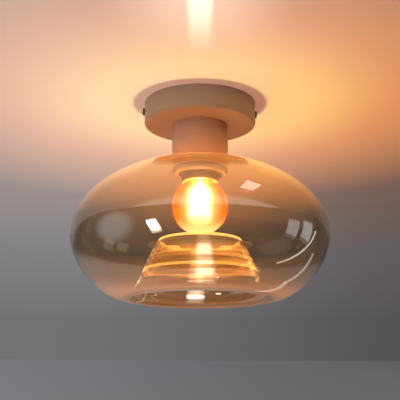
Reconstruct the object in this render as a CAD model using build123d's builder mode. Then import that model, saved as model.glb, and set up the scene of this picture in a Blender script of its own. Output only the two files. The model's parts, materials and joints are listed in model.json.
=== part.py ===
"""Ceiling light: painted ceiling cup and neck, blown glass shade with a re-entrant mouth,
and a globe filament lamp in a screw lampholder.

Units are millimetres. Z points up, z = 0 is the ceiling plane and the light hangs below it.
X runs through the two side screws of the cup.
"""
import os
from math import pi, radians, sqrt, tan

from build123d import *

os.makedirs("parts", exist_ok=True)

# Clearances
running_gap = 0.3
bore_gap = 0.15
seat_gap = 0.1
fit_gap = 0.05

# Ceiling cup, a shallow pressed drum
cup_radius = 60.0
cup_depth = 25.0
cup_wall = 1.2
cup_edge_round = 3.0

# Side screws that hold the cup on the bracket
side_screw_radius = 2.0
side_screw_length = 12.0
side_screw_drop = 10.0
side_head_radius = 3.8
side_head_height = 2.0
side_head_round = 0.8
side_slot_width = 0.9
side_slot_depth = 1.0

# Ceiling bracket, a bent strip with two slots for the ceiling screws
bracket_width = 18.0
bracket_sheet = 1.5
bracket_bend = 3.0
bracket_ear_margin = 5.0
ceiling_slot_spacing = 88.0
ceiling_slot_length = 12.0
ceiling_slot_width = 5.2
cable_hole_radius = 6.0

# Two-way terminal block under the bracket
block_inset = 15.0
block_depth = 17.0
block_width = 20.0
block_height = 13.5
block_corner_round = 1.5
way_pitch = 9.0
way_radius = 1.6
clamp_screw_spacing = 9.0
clamp_screw_radius = 1.5
clamp_screw_well = 1.7
clamp_screw_slot = 0.6
clamp_screw_length = 3.2
block_screw_radius = 1.5
block_screw_head_radius = 2.7
block_screw_head_height = 1.6

# Leads
lead_radius = 1.0
lead_drop = 9.0
lead_offset = 1.7
lead_grip = 4.0
bend_share = 0.45
lead_turn_rise = 4.5
earth_run = 10.5
earth_bulge = 4.5
earth_lead_stand = 5.0

# Earth screw and tag
earth_screw_inset = 17.0
earth_screw_radius = 2.0
earth_head_radius = 4.0
earth_head_height = 2.0
earth_slot_width = 0.9
earth_tag_radius = 8.5
earth_tag_sheet = 0.8
earth_tag_tail_width = 6.0
earth_tag_reach = 20.0

# Threaded nipple that ties cup, neck and lampholder together
nipple_radius = 5.0
nipple_bore_radius = 3.4
nipple_stand = 1.5
nut_across_flats = 14.0
nut_height = 5.0
washer_radius = 7.5
washer_sheet = 1.0
washer_teeth = 10
washer_notch = 1.6

# Neck, a plain cup as wide as half the ceiling cup
neck_radius = 30.0
neck_length = 41.2
neck_wall = 1.5

# Lampholder
holder_radius = 20.0
holder_wall = 2.0
holder_collar_radius = 9.0
holder_collar_length = 8.0
holder_dome_round = 8.0
holder_waist = 10.4
holder_spigot = 5.0
flange_gap = 1.5
flange_thickness = 2.8
skirt_length = 23.0
skirt_thread_pitch = 2.5
skirt_thread_depth = 0.7
skirt_thread_turns = 8
mouth_radius = 16.4
mouth_depth = 14.0
insert_radius = 17.3
insert_height = 24.0
insert_roof = 4.5
shell_sheet = 0.5
shell_overhang = 1.5
terminal_offset = 11.5
terminal_length = 5.0
terminal_width = 6.0
terminal_height = 5.0
contact_width = 6.0
contact_sheet = 0.5
contact_drop = 1.6
contact_root = 9.0
contact_knee = 5.5
contact_toe = 1.5
contact_end = 3.0

# Gaskets either side of the glass
upper_gasket_thickness = 2.0
lower_gasket_thickness = 1.5
lower_gasket_width = 5.0

# Shade ring, an inverted cup that screws up the skirt and pinches the glass
ring_radius = 29.7
ring_height = 7.2
ring_wall = 2.2
ring_floor = 1.6
ring_edge_round = 3.6
ring_hub_wall = 2.6
ring_hub_height = 5.8

# Glass shade: an ellipse above the widest line, a free curve below it, then a flared collar
shade_radius = 135.0
shade_crown = 82.2
shade_belly = 66.7
shade_side_pull = 32.1
shade_foot_pull = 28.6
shade_fold_radius = 74.0
shade_wall = 2.4
shade_hole_gap = 1.2
shade_neck_gap = 0.6
collar_rim_radius = 42.6
collar_height = 63.1
collar_foot_pull = 12.0
collar_rim_pull = 30.0
collar_rim_lean = 0.6

# Globe lamp with a 27 mm screw cap
globe_radius = 29.7
globe_wall = 0.7
globe_neck_radius = 11.6
globe_neck_round = 8.0
globe_neck_tail = 4.0
cap_radius = 13.1
cap_pitch = 3.629
cap_thread_depth = 0.9
cap_turns = 5
cap_wall = 0.4
cap_rim = 4.4
cap_gap = 0.35
cap_seat_radius = 10.0
insulator_height = 2.3
tip_radius = 4.8
tip_height = 1.0
stem_radius = 2.2
stem_flare_height = 1.5
stem_flare_fall = 9.0
stem_length = 20.0
filament_count = 6
filament_radius = 0.95
filament_length = 30.0
filament_circle = 9.5
frame_wire_radius = 0.45

# Levels and seats worked out from the driving dimensions
cup_inner_radius = cup_radius - cup_wall
cup_floor_z = -cup_depth + cup_wall
ear_face = sqrt(cup_inner_radius**2 - (bracket_width / 2) ** 2) - running_gap
ear_tip_z = -side_screw_drop - bracket_ear_margin
block_top_z = -bracket_sheet
block_bottom_z = block_top_z - block_height
block_centre = block_inset + block_depth / 2
earth_head_z = -bracket_sheet - 2 * lead_radius
tag_top_z = cup_floor_z + earth_tag_sheet
washer_top_z = tag_top_z + washer_sheet
nut_top_z = washer_top_z + nut_height
nipple_top_z = nut_top_z + nipple_stand
nipple_hole = nipple_radius + bore_gap

neck_top_z = -cup_depth
neck_roof_z = neck_top_z - neck_wall
neck_end_z = neck_top_z - neck_length

# Heights of the glass, hung from the end of the neck
shade_hole_radius = holder_radius + shade_hole_gap
shade_waist_z = neck_end_z - shade_neck_gap - shade_crown * sqrt(1 - (neck_radius / shade_radius) ** 2)
shade_base_z = shade_waist_z - shade_belly
collar_rim_z = shade_base_z + collar_height
shade_inner_radius = shade_radius - shade_wall
shade_inner_crown = shade_crown - shade_wall


def shade_top(radius):
    """Height of the outer face of the glass above the widest line, at a radius."""
    return shade_waist_z + shade_crown * sqrt(1 - (radius / shade_radius) ** 2)


def shade_under(radius):
    """Height of the inner face of the glass above the widest line, at a radius."""
    return shade_waist_z + shade_inner_crown * sqrt(1 - (radius / shade_inner_radius) ** 2)


# Lampholder levels: the flange fits in the neck and bears on the upper gasket, the gasket on the glass
flange_radius = neck_radius - neck_wall - flange_gap
upper_gasket_z = shade_top(shade_hole_radius) + seat_gap
flange_bottom_z = upper_gasket_z + upper_gasket_thickness
flange_top_z = flange_bottom_z + flange_thickness
shoulder_z = flange_top_z + holder_waist
spigot_top_z = shoulder_z + holder_spigot
dome_top_z = neck_roof_z - holder_collar_length
skirt_end_z = flange_bottom_z - skirt_length
ledge_z = skirt_end_z + mouth_depth
insert_top_z = ledge_z + insert_height
roof_under_z = insert_top_z - insert_roof
nipple_end_z = dome_top_z
shell_bore = cap_radius + cap_gap
shell_radius = shell_bore + shell_sheet

lower_gasket_z = shade_under(ring_radius) - seat_gap
ring_top_z = lower_gasket_z - lower_gasket_thickness
ring_end_z = ring_top_z - ring_height
ring_bore = holder_radius + running_gap

# Lamp levels, hung from the centre contact
tip_top_z = roof_under_z - contact_drop
tip_bottom_z = tip_top_z - tip_height
cap_top_z = tip_bottom_z - insulator_height
cap_thread_end_z = cap_top_z - cap_turns * cap_pitch
cap_end_z = cap_thread_end_z - cap_rim
neck_round_rise = sqrt((globe_radius + globe_neck_round) ** 2 - (globe_neck_radius + globe_neck_round) ** 2)
globe_centre_z = cap_end_z - neck_round_rise
stem_top_z = cap_end_z + globe_neck_tail
stem_end_z = stem_top_z - stem_length
filament_top_z = stem_end_z + filament_radius
filament_end_z = filament_top_z - filament_length


def save(solid, name):
    """Label one finished piece and write it to its own file."""
    solid.label = name
    export_step(solid, f"parts/{name}.step")


# Ceiling bracket: flat strip against the ceiling, both ends bent down into tapped ears
with BuildPart() as ceiling_bracket:
    with BuildSketch(Plane.XZ):
        with BuildLine():
            FilletPolyline(
                (-ear_face, ear_tip_z), (-ear_face, 0), (ear_face, 0), (ear_face, ear_tip_z),
                radius=bracket_bend,
            )
            offset(amount=bracket_sheet, side=Side.RIGHT)
        make_face()
    extrude(amount=bracket_width / 2, both=True)
    with BuildSketch(Plane.XY):
        with Locations((-ceiling_slot_spacing / 2, 0), (ceiling_slot_spacing / 2, 0)):
            SlotOverall(ceiling_slot_length, ceiling_slot_width)
        Circle(cable_hole_radius)
        with Locations((block_centre, 0)):
            Circle(block_screw_radius + fit_gap)
        with Locations((-earth_screw_inset, 0)):
            Circle(earth_screw_radius + fit_gap)
    extrude(amount=-bracket_sheet, mode=Mode.SUBTRACT)
    with BuildSketch(Plane.YZ):
        with Locations((0, -side_screw_drop)):
            Circle(side_screw_radius + bore_gap)
    extrude(amount=cup_radius, both=True, mode=Mode.SUBTRACT)
save(ceiling_bracket.part, "ceiling_bracket")

# Ceiling cup
with BuildPart() as ceiling_cup:
    with BuildSketch(Plane.XY):
        Circle(cup_radius)
    extrude(amount=-cup_depth)
    fillet(ceiling_cup.edges().group_by(Axis.Z)[0], cup_edge_round)
    offset(amount=-cup_wall, openings=ceiling_cup.faces().sort_by(Axis.Z)[-1])
    with BuildSketch(Plane.XY.offset(-cup_depth)):
        Circle(nipple_hole)
    extrude(amount=cup_wall, mode=Mode.SUBTRACT)
    with BuildSketch(Plane.YZ):
        with Locations((0, -side_screw_drop)):
            Circle(side_screw_radius + running_gap)
    extrude(amount=cup_radius, both=True, mode=Mode.SUBTRACT)
save(ceiling_cup.part, "ceiling_cup")

# Side screws, slotted pan heads
for side, screw_name in ((-1, "side_screw_left"), (1, "side_screw_right")):
    screw_plane = Plane(
        origin=(side * (cup_radius + bore_gap), 0, -side_screw_drop), x_dir=(0, 1, 0), z_dir=(side, 0, 0)
    )
    with BuildPart() as side_screw:
        with BuildSketch(screw_plane):
            Circle(side_head_radius)
        extrude(amount=side_head_height)
        fillet(side_screw.edges().sort_by(Axis(screw_plane.origin, screw_plane.z_dir))[-1], side_head_round)
        with BuildSketch(screw_plane.offset(side_head_height)):
            Rectangle(2 * side_head_radius, side_slot_width)
        extrude(amount=-side_slot_depth, mode=Mode.SUBTRACT)
        with BuildSketch(screw_plane):
            Circle(side_screw_radius)
        extrude(amount=-side_screw_length)
    save(side_screw.part, screw_name)

# Terminal block: two ways bored along X, clamp screw wells from below, one fixing screw
with BuildPart() as terminal_block:
    with BuildSketch(Plane.XY.offset(block_top_z)):
        with Locations((block_centre, 0)):
            RectangleRounded(block_depth, block_width, block_corner_round)
    extrude(amount=-block_height)
    with BuildSketch(Plane.YZ.offset(block_inset)):
        with Locations((-way_pitch / 2, -lead_drop), (way_pitch / 2, -lead_drop)):
            Circle(way_radius)
    extrude(amount=block_depth, mode=Mode.SUBTRACT)
    with BuildSketch(Plane.XY.offset(block_bottom_z)):
        with Locations((block_centre, 0)):
            with GridLocations(clamp_screw_spacing, way_pitch, 2, 2):
                Circle(clamp_screw_well)
    extrude(amount=-lead_drop - block_bottom_z, mode=Mode.SUBTRACT)
    with Locations((block_centre, 0, block_bottom_z)):
        with Locations(Rotation(180, 0, 0)):
            CounterBoreHole(
                block_screw_radius + bore_gap, block_screw_head_radius + bore_gap, block_screw_head_height
            )
save(terminal_block.part, "terminal_block")

# Clamp screws of the terminal block, each bearing on the underside of a lead
with BuildPart() as clamp_screws:
    with BuildSketch(Plane.XY.offset(-lead_drop - lead_radius)):
        with Locations((block_centre, 0)):
            with GridLocations(clamp_screw_spacing, way_pitch, 2, 2):
                Circle(clamp_screw_radius)
    extrude(amount=-clamp_screw_length)
    with BuildSketch(Plane.XY.offset(-lead_drop - lead_radius - clamp_screw_length)):
        with Locations((block_centre, 0)):
            with GridLocations(clamp_screw_spacing, way_pitch, 2, 2):
                Rectangle(2 * clamp_screw_radius, clamp_screw_slot)
    extrude(amount=clamp_screw_slot, mode=Mode.SUBTRACT)
save(clamp_screws.part, "clamp_screws")

# Fixing screw of the terminal block, driven up into the bracket
with BuildPart() as block_screw:
    with BuildSketch(Plane.XY.offset(block_bottom_z)):
        with Locations((block_centre, 0)):
            Circle(block_screw_head_radius)
    extrude(amount=block_screw_head_height)
    with BuildSketch(Plane.XY.offset(block_bottom_z)):
        with Locations((block_centre, 0)):
            Rectangle(2 * block_screw_head_radius, clamp_screw_slot)
    extrude(amount=clamp_screw_slot, mode=Mode.SUBTRACT)
    with BuildSketch(Plane.XY.offset(block_bottom_z + block_screw_head_height)):
        with Locations((block_centre, 0)):
            Circle(block_screw_radius)
    extrude(amount=-block_bottom_z - block_screw_head_height - fit_gap)
save(block_screw.part, "block_screw")

# Earth screw on the bracket, its head clamping the earth lead
with BuildPart() as earth_screw:
    with BuildSketch(Plane.XY.offset(earth_head_z)):
        with Locations((-earth_screw_inset, 0)):
            Circle(earth_head_radius)
    extrude(amount=-earth_head_height)
    with BuildSketch(Plane.XY.offset(earth_head_z - earth_head_height)):
        with Locations((-earth_screw_inset, 0)):
            Rectangle(2 * earth_head_radius, earth_slot_width)
    extrude(amount=earth_slot_width, mode=Mode.SUBTRACT)
    with BuildSketch(Plane.XY.offset(earth_head_z)):
        with Locations((-earth_screw_inset, 0)):
            Circle(earth_screw_radius)
    extrude(amount=-earth_head_z - fit_gap)
save(earth_screw.part, "earth_screw")

# Earth tag under the nut, its tail lying on the cup floor
with BuildPart() as earth_tag:
    with BuildSketch(Plane.XY.offset(cup_floor_z)):
        Circle(earth_tag_radius)
        with Locations((-earth_tag_reach / 2, 0)):
            Rectangle(earth_tag_reach, earth_tag_tail_width)
        Circle(nipple_hole, mode=Mode.SUBTRACT)
    extrude(amount=earth_tag_sheet)
    fillet(earth_tag.edges().filter_by(Axis.Z).group_by(Axis.X)[0], earth_tag_tail_width / 3)
save(earth_tag.part, "earth_tag")

# Toothed lock washer
with BuildPart() as lock_washer:
    with BuildSketch(Plane.XY.offset(tag_top_z)):
        Circle(washer_radius)
        Circle(nipple_hole, mode=Mode.SUBTRACT)
        with PolarLocations(washer_radius, washer_teeth):
            Circle(washer_notch / 2, mode=Mode.SUBTRACT)
    extrude(amount=washer_sheet)
save(lock_washer.part, "lock_washer")

# Nut on the nipple
with BuildPart() as nipple_nut:
    with BuildSketch(Plane.XY.offset(washer_top_z)):
        RegularPolygon(nut_across_flats / 2, 6, major_radius=False)
        Circle(nipple_radius + fit_gap, mode=Mode.SUBTRACT)
    extrude(amount=nut_height)
save(nipple_nut.part, "nipple_nut")

# Hollow threaded nipple
with BuildPart() as threaded_nipple:
    with BuildSketch(Plane.XY.offset(nipple_end_z)):
        Circle(nipple_radius)
        Circle(nipple_bore_radius, mode=Mode.SUBTRACT)
    extrude(amount=nipple_top_z - nipple_end_z)
save(threaded_nipple.part, "threaded_nipple")

# Neck cup, closed at the top and open to the glass
with BuildPart() as neck_cup:
    with BuildSketch(Plane.XY.offset(neck_top_z)):
        Circle(neck_radius)
    extrude(amount=-neck_length)
    offset(amount=-neck_wall, openings=neck_cup.faces().sort_by(Axis.Z)[0])
    with BuildSketch(Plane.XY.offset(neck_top_z)):
        Circle(nipple_hole)
    extrude(amount=-neck_wall, mode=Mode.SUBTRACT)
save(neck_cup.part, "neck_cup")

# Lampholder cap: domed cover with a threaded collar for the nipple
with BuildPart() as holder_cap:
    with BuildSketch(Plane.XY.offset(shoulder_z)):
        Circle(holder_radius)
    extrude(amount=dome_top_z - shoulder_z)
    fillet(holder_cap.edges().group_by(Axis.Z)[-1], holder_dome_round)
    offset(amount=-holder_wall, openings=holder_cap.faces().sort_by(Axis.Z)[0])
    with BuildSketch(Plane.XY.offset(dome_top_z - holder_wall)):
        Circle(holder_collar_radius)
    extrude(amount=neck_roof_z - dome_top_z + holder_wall)
    with BuildSketch(Plane.XY.offset(neck_roof_z)):
        Circle(nipple_radius + fit_gap)
    extrude(amount=-holder_collar_length - holder_wall, mode=Mode.SUBTRACT)
save(holder_cap.part, "holder_cap")

# Lampholder body: spigot into the cap, shade flange, and a skirt with rolled thread ridges
thread_points = []
for turn in range(skirt_thread_turns):
    crest_z = skirt_end_z + (turn + 1) * skirt_thread_pitch
    thread_points += [
        (holder_radius - skirt_thread_depth, crest_z - skirt_thread_pitch / 2),
        (holder_radius, crest_z),
    ]
spigot_radius = holder_radius - holder_wall - fit_gap
with BuildPart() as holder_body:
    with BuildSketch(Plane.XZ):
        with BuildLine():
            Polyline(
                (mouth_radius, skirt_end_z),
                (holder_radius - skirt_thread_depth, skirt_end_z),
                *thread_points,
                (holder_radius - skirt_thread_depth, flange_bottom_z),
                (flange_radius, flange_bottom_z),
                (flange_radius, flange_top_z),
                (holder_radius, flange_top_z),
                (holder_radius, shoulder_z),
                (spigot_radius, shoulder_z),
                (spigot_radius, spigot_top_z),
                (insert_radius + fit_gap, spigot_top_z),
                (insert_radius + fit_gap, ledge_z),
                (mouth_radius, ledge_z),
                close=True,
            )
        make_face()
    revolve(axis=Axis.Z)
save(holder_body.part, "holder_body")

# Lampholder insert, an insulating cup round the screw shell
with BuildPart() as holder_insert:
    with BuildSketch(Plane.XY.offset(ledge_z)):
        Circle(insert_radius)
    extrude(amount=insert_height)
    with BuildSketch(Plane.XY.offset(ledge_z)):
        Circle(shell_radius + fit_gap)
    extrude(amount=insert_height - insert_roof, mode=Mode.SUBTRACT)
save(holder_insert.part, "holder_insert")

# Terminals of the lampholder, one each side on the insert
with BuildPart() as holder_terminals:
    with BuildSketch(Plane.XY.offset(insert_top_z)):
        with Locations((-terminal_offset, 0), (terminal_offset, 0)):
            Rectangle(terminal_length, terminal_width)
    extrude(amount=terminal_height)
save(holder_terminals.part, "holder_terminals")

# Screw shell, the side contact of the lampholder
with BuildPart() as holder_shell:
    with BuildSketch(Plane.XY.offset(ledge_z - shell_overhang)):
        Circle(shell_radius)
        Circle(shell_bore, mode=Mode.SUBTRACT)
    extrude(amount=roof_under_z - ledge_z + shell_overhang)
save(holder_shell.part, "holder_shell")

# Centre contact, a bent leaf under the roof of the insert
with BuildPart() as centre_contact:
    with BuildSketch(Plane.XZ):
        with BuildLine():
            Polyline(
                (-contact_root, roof_under_z),
                (-contact_knee, roof_under_z),
                (-contact_toe, tip_top_z + contact_sheet),
                (contact_end, tip_top_z + contact_sheet),
            )
            offset(amount=contact_sheet, side=Side.RIGHT)
        make_face()
    extrude(amount=contact_width / 2, both=True)
save(centre_contact.part, "centre_contact")

# Upper gasket between the lampholder flange and the glass
with BuildPart() as upper_gasket:
    with BuildSketch(Plane.XY.offset(upper_gasket_z)):
        Circle(flange_radius)
        Circle(shade_hole_radius, mode=Mode.SUBTRACT)
    extrude(amount=upper_gasket_thickness)
save(upper_gasket.part, "upper_gasket")

# Glass shade: one blown wall from the hole at the top round to the open rim of the collar
half_wall = shade_wall / 2
rim_inner = collar_rim_radius - half_wall
rim_outer = collar_rim_radius + half_wall
rim_pull_z = collar_rim_z - collar_rim_pull
rim_pull_out = collar_rim_lean * collar_rim_pull
shade_floor_z = shade_base_z + shade_wall
quarter_turn = 90
with BuildPart() as glass_shade:
    with BuildSketch(Plane.XZ):
        with BuildLine():
            EllipticalCenterArc((0, shade_waist_z), shade_radius, shade_crown, 0, arc_size=quarter_turn)
            Bezier(
                (shade_radius, shade_waist_z),
                (shade_radius, shade_waist_z - shade_side_pull),
                (shade_fold_radius + shade_foot_pull, shade_base_z),
                (shade_fold_radius, shade_base_z),
            )
            Bezier(
                (shade_fold_radius, shade_base_z),
                (shade_fold_radius - collar_foot_pull, shade_base_z),
                (rim_inner + rim_pull_out, rim_pull_z),
                (rim_inner, collar_rim_z),
            )
            ThreePointArc(
                (rim_inner, collar_rim_z),
                (collar_rim_radius, collar_rim_z + half_wall),
                (rim_outer, collar_rim_z),
            )
            Bezier(
                (rim_outer, collar_rim_z),
                (rim_outer + rim_pull_out, rim_pull_z),
                (shade_fold_radius - collar_foot_pull, shade_floor_z),
                (shade_fold_radius, shade_floor_z),
            )
            Bezier(
                (shade_fold_radius, shade_floor_z),
                (shade_fold_radius + shade_foot_pull, shade_floor_z),
                (shade_inner_radius, shade_waist_z - shade_side_pull),
                (shade_inner_radius, shade_waist_z),
            )
            EllipticalCenterArc(
                (0, shade_waist_z),
                shade_inner_radius, shade_inner_crown, 0, arc_size=quarter_turn,
            )
            Line((0, shade_waist_z + shade_inner_crown), (0, shade_waist_z + shade_crown))
        make_face()
    revolve(axis=Axis.Z)
    with BuildSketch(Plane.XY.offset(shade_waist_z)):
        Circle(shade_hole_radius)
    extrude(amount=shade_crown + shade_wall, mode=Mode.SUBTRACT)
save(glass_shade.part, "glass_shade")

# Lower gasket between the glass and the shade ring
with BuildPart() as lower_gasket:
    with BuildSketch(Plane.XY.offset(lower_gasket_z)):
        Circle(ring_radius)
        Circle(ring_radius - lower_gasket_width, mode=Mode.SUBTRACT)
    extrude(amount=-lower_gasket_thickness)
save(lower_gasket.part, "lower_gasket")

# Shade ring: outer wall up to the gasket, rounded lower edge, threaded hub round the skirt
ring_hub_radius = ring_bore + ring_hub_wall
with BuildPart() as shade_ring:
    with BuildSketch(Plane.XY.offset(ring_end_z)):
        Circle(ring_radius)
    extrude(amount=ring_height)
    fillet(shade_ring.edges().group_by(Axis.Z)[0], ring_edge_round)
    with BuildSketch(Plane.XY.offset(ring_end_z + ring_floor)):
        Circle(ring_radius - ring_wall)
    extrude(amount=ring_height - ring_floor, mode=Mode.SUBTRACT)
    with BuildSketch(Plane.XY.offset(ring_end_z)):
        Circle(ring_hub_radius)
    extrude(amount=ring_hub_height)
    with BuildSketch(Plane.XY.offset(ring_end_z)):
        Circle(ring_bore)
    extrude(amount=ring_height, mode=Mode.SUBTRACT)
save(shade_ring.part, "shade_ring")

# Tip contact of the lamp
with BuildPart() as bulb_tip_contact:
    with BuildSketch(Plane.XY.offset(tip_bottom_z)):
        Circle(tip_radius)
    extrude(amount=tip_height)
    fillet(bulb_tip_contact.edges().group_by(Axis.Z)[-1], tip_height / 2)
save(bulb_tip_contact.part, "bulb_tip_contact")

# Insulator between the tip contact and the cap
with BuildPart() as bulb_insulator:
    with BuildSketch(Plane.XY.offset(cap_top_z)):
        Circle(cap_seat_radius)
    with BuildSketch(Plane.XY.offset(tip_bottom_z)):
        Circle(tip_radius + tip_height)
    loft()
save(bulb_insulator.part, "bulb_insulator")

# Screw cap of the lamp: rounded thread ridges over a plain rim, hollow below its roof
cap_root = cap_radius - cap_thread_depth
with BuildPart() as bulb_cap:
    with BuildSketch(Plane.XZ):
        with BuildLine():
            Line((0, cap_top_z), (cap_root, cap_top_z))
            for turn in range(cap_turns):
                ridge_z = cap_top_z - turn * cap_pitch
                ThreePointArc(
                    (cap_root, ridge_z),
                    (cap_radius, ridge_z - cap_pitch / 2),
                    (cap_root, ridge_z - cap_pitch),
                )
            Polyline(
                (cap_root, cap_thread_end_z),
                (cap_root, cap_end_z),
                (cap_root - cap_wall, cap_end_z),
                (cap_root - cap_wall, cap_top_z - cap_wall),
                (0, cap_top_z - cap_wall),
                (0, cap_top_z),
            )
        make_face()
    revolve(axis=Axis.Z)
save(bulb_cap.part, "bulb_cap")

# Globe of the lamp: sphere, hollow round, and a straight neck glued into the cap
tangent_share = globe_radius / (globe_radius + globe_neck_round)
tangent_radius = (globe_neck_radius + globe_neck_round) * tangent_share
tangent_z = globe_centre_z + neck_round_rise * tangent_share
with BuildPart() as bulb_globe:
    with BuildSketch(Plane.XZ):
        with BuildLine():
            Line((globe_neck_radius, stem_top_z), (globe_neck_radius, cap_end_z))
            TangentArc((globe_neck_radius, cap_end_z), (tangent_radius, tangent_z), tangent=(0, -1))
            ThreePointArc(
                (tangent_radius, tangent_z),
                (globe_radius, globe_centre_z),
                (0, globe_centre_z - globe_radius),
            )
            Polyline(
                (0, globe_centre_z - globe_radius), (0, stem_top_z), (globe_neck_radius, stem_top_z)
            )
        make_face()
    revolve(axis=Axis.Z)
    offset(amount=-globe_wall, openings=bulb_globe.faces().sort_by(Axis.Z)[-1])
save(bulb_globe.part, "bulb_globe")

# Glass stem: a flare sealed into the neck of the globe and a rod down its axis
stem_flare_radius = globe_neck_radius - globe_wall - fit_gap
with BuildPart() as bulb_stem:
    with BuildSketch(Plane.XZ):
        with BuildLine():
            Polyline(
                (0, stem_top_z),
                (stem_flare_radius, stem_top_z),
                (stem_flare_radius, stem_top_z - stem_flare_height),
                (stem_radius, stem_top_z - stem_flare_fall),
                (stem_radius, stem_end_z),
                (0, stem_end_z),
                close=True,
            )
        make_face()
    revolve(axis=Axis.Z)
save(bulb_stem.part, "bulb_stem")

# Filaments, a ring of straight sticks below the stem
with BuildPart() as filaments:
    with BuildSketch(Plane.XY.offset(filament_top_z)):
        with PolarLocations(filament_circle, filament_count, start_angle=180 / filament_count):
            Circle(filament_radius)
    extrude(amount=-filament_length)
save(filaments.part, "filaments")

# Filament frame: wires out from the stem to the upper ends, a ring under the lower ends
with BuildPart() as filament_frame:
    for arm in range(filament_count):
        arm_angle = (arm + 0.5) * 360 / filament_count
        arm_way = Vector(1, 0, 0).rotate(Axis.Z, arm_angle)
        arm_start = arm_way * stem_radius + Vector(0, 0, filament_top_z + frame_wire_radius)
        with BuildSketch(Plane(arm_start, z_dir=arm_way)):
            Circle(frame_wire_radius)
        extrude(amount=filament_circle + filament_radius - stem_radius)
    with BuildSketch(Plane.XZ):
        with Locations((filament_circle, filament_end_z - frame_wire_radius)):
            Circle(frame_wire_radius)
    revolve(axis=Axis.Z)
save(filament_frame.part, "filament_frame")

# Leads, each a tube along straight runs with the largest even bends
block_end = block_inset + lead_grip
lead_start_y = way_pitch / 2
terminal_face = terminal_offset - terminal_length / 2
terminal_wire_z = insert_top_z + terminal_height / 2
lead_turn_z = terminal_wire_z + lead_turn_rise
earth_wire_z = -bracket_sheet - lead_radius
earth_tail_z = tag_top_z + lead_radius
earth_start = -earth_screw_inset - earth_screw_radius - fit_gap
tag_end = -washer_radius - earth_lead_stand
lead_routes = {
    "live_lead": [
        (block_end, lead_start_y, -lead_drop),
        (0, lead_offset, -lead_drop),
        (0, lead_offset, lead_turn_z),
        (terminal_face / 2, lead_offset, terminal_wire_z),
        (terminal_face, lead_offset, terminal_wire_z),
    ],
    "neutral_lead": [
        (block_end, -lead_start_y, -lead_drop),
        (0, -lead_offset, -lead_drop),
        (0, -lead_offset, lead_turn_z),
        (-terminal_face / 2, -lead_offset, terminal_wire_z),
        (-terminal_face, -lead_offset, terminal_wire_z),
    ],
    "earth_lead": [
        (earth_start, 0, earth_wire_z),
        (earth_start - earth_run, 0, earth_wire_z),
        (earth_start - earth_run - earth_bulge, 0, (earth_wire_z + earth_tail_z) / 2),
        (earth_start - earth_run, 0, earth_tail_z),
        (tag_end, 0, earth_tail_z),
    ],
}
for lead_name, route in lead_routes.items():
    corners = [Vector(*point) for point in route]
    runs = [after - before for before, after in zip(corners, corners[1:])]
    radii = [
        bend_share * min(run.length, after.length) / tan(radians(run.get_angle(after)) / 2)
        for run, after in zip(runs, runs[1:])
    ]
    print(lead_name, "bend radii", [round(radius, 1) for radius in radii])
    with BuildPart() as lead:
        with BuildLine() as lead_path:
            FilletPolyline(*route, radius=radii)
        with BuildSketch(Plane(origin=route[0], z_dir=lead_path.line % 0)):
            Circle(lead_radius)
        sweep()
    tube_volume = pi * lead_radius**2 * sum(edge.length for edge in lead_path.edges())
    print(lead_name, "volume over section times length", round(lead.part.volume / tube_volume, 4))
    save(lead.part, lead_name)
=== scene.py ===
"""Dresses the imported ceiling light: blown amber shade, globe lamp, finishes, lights and camera."""

from __future__ import annotations

import json
import logging
import math
from dataclasses import dataclass, field
from enum import Enum
from functools import partial, reduce
from typing import Any

import bpy
import numpy as np
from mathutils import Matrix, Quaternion, Vector

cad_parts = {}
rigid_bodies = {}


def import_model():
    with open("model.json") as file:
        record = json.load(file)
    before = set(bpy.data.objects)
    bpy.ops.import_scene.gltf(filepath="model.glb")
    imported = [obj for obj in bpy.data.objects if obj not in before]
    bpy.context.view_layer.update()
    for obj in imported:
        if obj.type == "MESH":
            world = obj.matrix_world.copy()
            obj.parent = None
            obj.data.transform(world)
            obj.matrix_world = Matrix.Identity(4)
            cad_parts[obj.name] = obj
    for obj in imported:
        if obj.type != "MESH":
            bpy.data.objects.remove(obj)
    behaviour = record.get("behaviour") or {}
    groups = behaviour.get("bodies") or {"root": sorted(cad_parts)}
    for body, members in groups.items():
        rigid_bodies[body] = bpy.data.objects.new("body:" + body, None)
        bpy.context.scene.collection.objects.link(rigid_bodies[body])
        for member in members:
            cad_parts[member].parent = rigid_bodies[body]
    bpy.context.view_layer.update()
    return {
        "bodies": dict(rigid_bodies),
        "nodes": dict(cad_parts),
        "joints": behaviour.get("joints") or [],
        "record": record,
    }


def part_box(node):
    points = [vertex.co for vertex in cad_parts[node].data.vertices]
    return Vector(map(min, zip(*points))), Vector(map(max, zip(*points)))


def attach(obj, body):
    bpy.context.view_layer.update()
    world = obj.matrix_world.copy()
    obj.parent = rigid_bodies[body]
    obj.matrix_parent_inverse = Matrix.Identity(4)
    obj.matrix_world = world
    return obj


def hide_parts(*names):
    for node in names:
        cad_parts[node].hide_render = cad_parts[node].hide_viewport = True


log = logging.getLogger("ceiling_light")

Colour = tuple[float, float, float]
Pair = tuple[float, float]
Triple = tuple[float, float, float]
Stops = tuple[tuple[float, Colour], ...]
Material = bpy.types.Material
Node = bpy.types.Node
Socket = bpy.types.NodeSocket
Thing = bpy.types.Object
Tree = bpy.types.NodeTree

SENSOR_WIDTH = 36.0
FULL_LEVEL = 255.0
SRGB_KNEE = 0.04045
SRGB_SLOPE = 12.92
SRGB_OFFSET = 0.055
SRGB_POWER = 2.4

# Places of the sockets of a colour Mix node
MIX_FACTOR = 0
MIX_FIRST = 6
MIX_SECOND = 7
MIX_RESULT = 2

BLACK: Colour = (0.0, 0.0, 0.0)
COOL_WHITE: Colour = (0.85, 0.92, 1.0)
CREAM: Colour = (1.0, 0.93, 0.78)
FLATTENED: Triple = (1.0, 1.0, 0.0)
RISING: Pair = (0.0, 1.0)
FALLING: Pair = (1.0, 0.0)


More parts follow.
